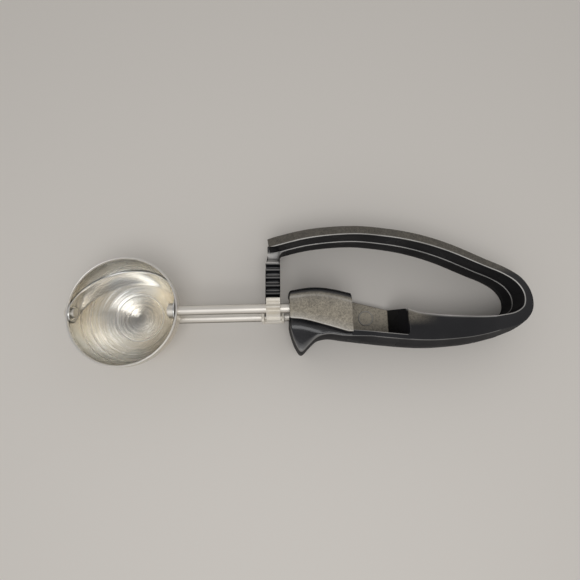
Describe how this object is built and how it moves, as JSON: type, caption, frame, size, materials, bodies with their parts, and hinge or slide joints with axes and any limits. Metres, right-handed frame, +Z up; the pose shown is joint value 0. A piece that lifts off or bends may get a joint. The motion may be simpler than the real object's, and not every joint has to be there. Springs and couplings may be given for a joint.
{
  "type": "lever ice cream scoop",
  "caption": "Squeeze-handle ice cream scoop with a steel bowl, a sweeping blade, an open rack and pinion drive and a one-piece black moulded handle.",
  "frame": {"origin": "on the handle's flat back, under the block that holds the rods, on the turning rod's line", "axes": "+X from the bowl to the handle's bend along the rods, +Y towards the squeezed arm, +Z up, out of the bowl's mouth"},
  "size_m": [0.1988, 0.0592, 0.028],
  "materials": {
    "stainless": "polished",
    "cast_metal": "satin",
    "black_nylon": "semi-gloss"
  },
  "bodies": {
    "frame": {"handle_grip": "black_nylon", "spring_bend": "black_nylon", "shank": "stainless", "rack_guide": "cast_metal", "bowl": "stainless", "far_pivot_pin": "stainless"},
    "lever": {"lever_arm": "black_nylon", "rack_neck": "black_nylon", "rack": "black_nylon"},
    "drive": {"drive_rod": "stainless", "scraper_blade": "stainless", "blade_hub": "stainless", "pinion": "cast_metal"}
  },
  "joints": [
    {"name": "squeeze", "type": "hinge", "parent": "frame", "child": "lever", "pos_m": [0.08795, 0.0032, 0.011], "axis": [0, 0, 1], "range_deg": [0, 5.27], "stiffness_Nm_per_rad": 20, "deforming": ["spring_bend"]},
    {"name": "blade_turn", "type": "hinge", "parent": "frame", "child": "drive", "pos_m": [-0.012, 0, 0.023], "axis": [1, 0, 0], "range_deg": [-145, 0]}
  ],
  "couplings": [
    {"joint": "blade_turn", "follows": "squeeze", "ratio": -27.37}
  ]
}
